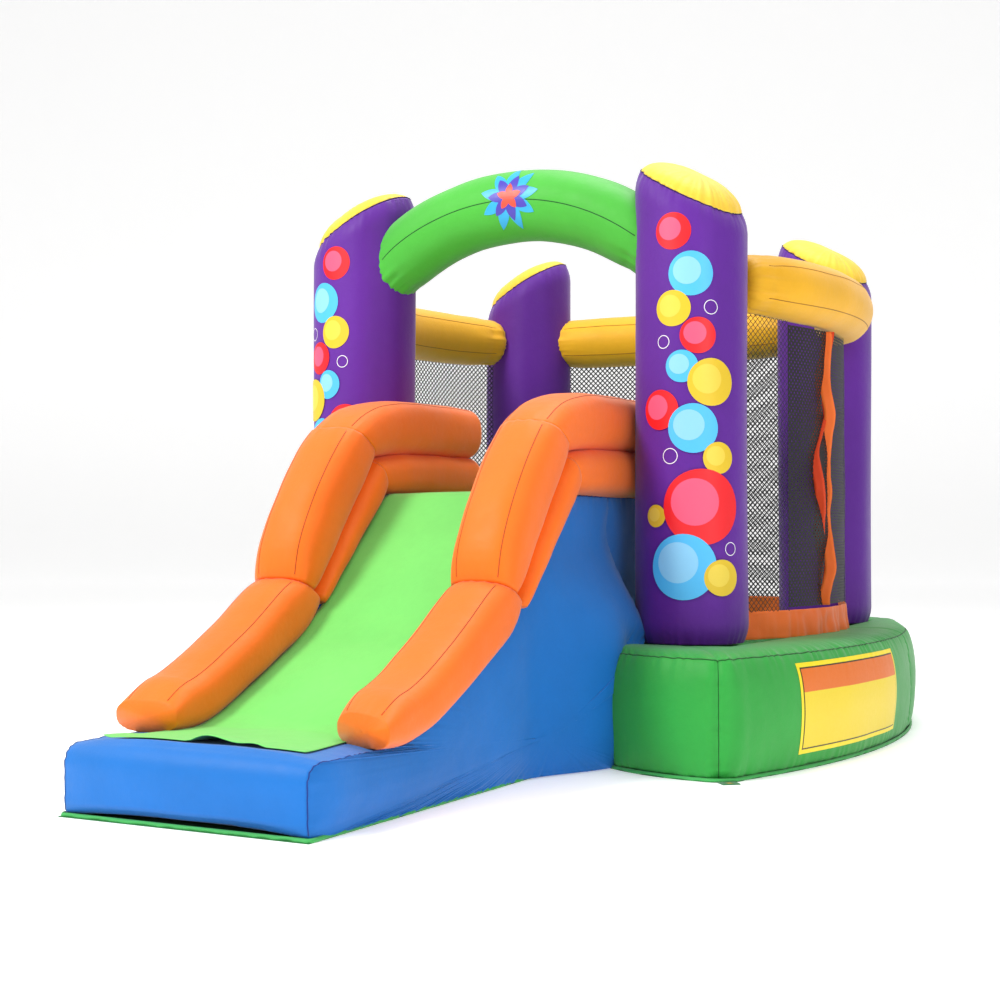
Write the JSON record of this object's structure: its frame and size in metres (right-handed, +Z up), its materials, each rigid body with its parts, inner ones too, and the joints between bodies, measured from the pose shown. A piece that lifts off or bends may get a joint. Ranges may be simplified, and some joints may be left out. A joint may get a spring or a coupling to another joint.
{
  "type": "inflatable bounce house",
  "caption": "Inflatable bounce house with a padded slide, round posts joined by an arch and beams, net walls and a slit door, on a cushioned base",
  "frame": {"origin": "on the ground, under the middle of the whole object's box", "axes": "+X to the right seen from the slide's foot, +Y from the slide's foot to the back, +Z up"},
  "size_m": [2.5012, 4.31, 2.19],
  "materials": {
    "green_fabric": "matte",
    "floor_fabric": "matte",
    "web_fabric": "matte",
    "ground_fabric": "matte",
    "label_vinyl": "matte",
    "blue_fabric": "matte",
    "lime_fabric": "matte",
    "orange_fabric": "matte",
    "purple_fabric": "matte",
    "cap_fabric": "matte",
    "beam_fabric": "matte",
    "arch_fabric": "matte",
    "badge_vinyl": "matte",
    "skirt_fabric": "matte",
    "binding_fabric": "matte",
    "net_mesh": "matte",
    "sleeve_fabric": "matte",
    "webbing": "matte",
    "tab_webbing": "matte",
    "buckle_plastic": "matte",
    "grommet_metal": "satin",
    "zip_tape": "matte",
    "zip_metal": "polished"
  },
  "bodies": {
    "house": {"air_inlet_sleeve": "sleeve_fabric", "anchor_grommets": "grommet_metal", "anchor_tabs": "tab_webbing", "arch_badge": "badge_vinyl", "base_cushion": "green_fabric", "bounce_floor": "floor_fabric", "floor_baffles": "web_fabric", "front_arch": "arch_fabric", "ground_sheet": "ground_fabric", "inlet_buckle": "buckle_plastic", "inlet_strap": "webbing", "landing_cushion": "blue_fabric", "left_beam": "beam_fabric", "left_front_cap": "cap_fabric", "left_front_post": "purple_fabric", "left_net": "net_mesh", "left_rear_cap": "cap_fabric", "left_rear_post": "purple_fabric", "left_skirt": "skirt_fabric", "left_wall_bolster": "orange_fabric", "left_wall_lower_rail": "orange_fabric", "left_wall_lower_slope": "orange_fabric", "left_wall_upper_rail": "orange_fabric", "left_wall_upper_slope": "orange_fabric", "rear_beam": "beam_fabric", "rear_net": "net_mesh", "rear_skirt": "skirt_fabric", "right_beam": "beam_fabric", "right_front_cap": "cap_fabric", "right_front_post": "purple_fabric", "right_net": "net_mesh", "right_rear_cap": "cap_fabric", "right_rear_net": "net_mesh", "right_rear_post": "purple_fabric", "right_skirt": "skirt_fabric", "right_wall_bolster": "orange_fabric", "right_wall_lower_rail": "orange_fabric", "right_wall_lower_slope": "orange_fabric", "right_wall_upper_rail": "orange_fabric", "right_wall_upper_slope": "orange_fabric", "side_label": "label_vinyl", "slide_ground_sheet": "ground_fabric", "slide_lower_chamber": "blue_fabric", "slide_platform": "blue_fabric", "slide_sheet": "lime_fabric", "slide_upper_chamber": "blue_fabric", "slide_webs": "web_fabric", "zip_tape": "zip_tape"},
    "door_flap_body": {"door_flap": "net_mesh", "door_flap_binding": "binding_fabric"},
    "inner_door_flap_body": {"inner_door_flap": "net_mesh", "inner_flap_binding": "binding_fabric"},
    "slide_sheet_flap_body": {"slide_sheet_flap": "lime_fabric"},
    "zip_slider_body": {"zip_slider": "zip_metal"},
    "zip_pull_tab_body": {"zip_pull_tab": "zip_metal"}
  },
  "joints": [
    {"name": "door_flap_hinge", "type": "hinge", "parent": "house", "child": "door_flap_body", "pos_m": [0.93908, 0.24, 1.05], "axis": [0, 0, -1], "range_deg": [0, 80]},
    {"name": "inner_flap_hinge", "type": "hinge", "parent": "house", "child": "inner_door_flap_body", "pos_m": [0.97607, 0.86, 1.05], "axis": [0, 0, -1], "range_deg": [0, 60]},
    {"name": "slide_flap_hinge", "type": "hinge", "parent": "house", "child": "slide_sheet_flap_body", "pos_m": [0, -1.7, 0.2064], "axis": [-1, 0, 0], "range_deg": [0, 105]},
    {"name": "zip_travel", "type": "slide", "parent": "house", "child": "zip_slider_body", "axis": [-0.9988, 0.0495, 0], "range_m": [0, 0.26]},
    {"name": "pull_tab_hinge", "type": "hinge", "parent": "zip_slider_body", "child": "zip_pull_tab_body", "pos_m": [0.61046, 1.88427, 0.235], "axis": [0.9988, -0.0495, 0], "range_deg": [0, 150]}
  ]
}
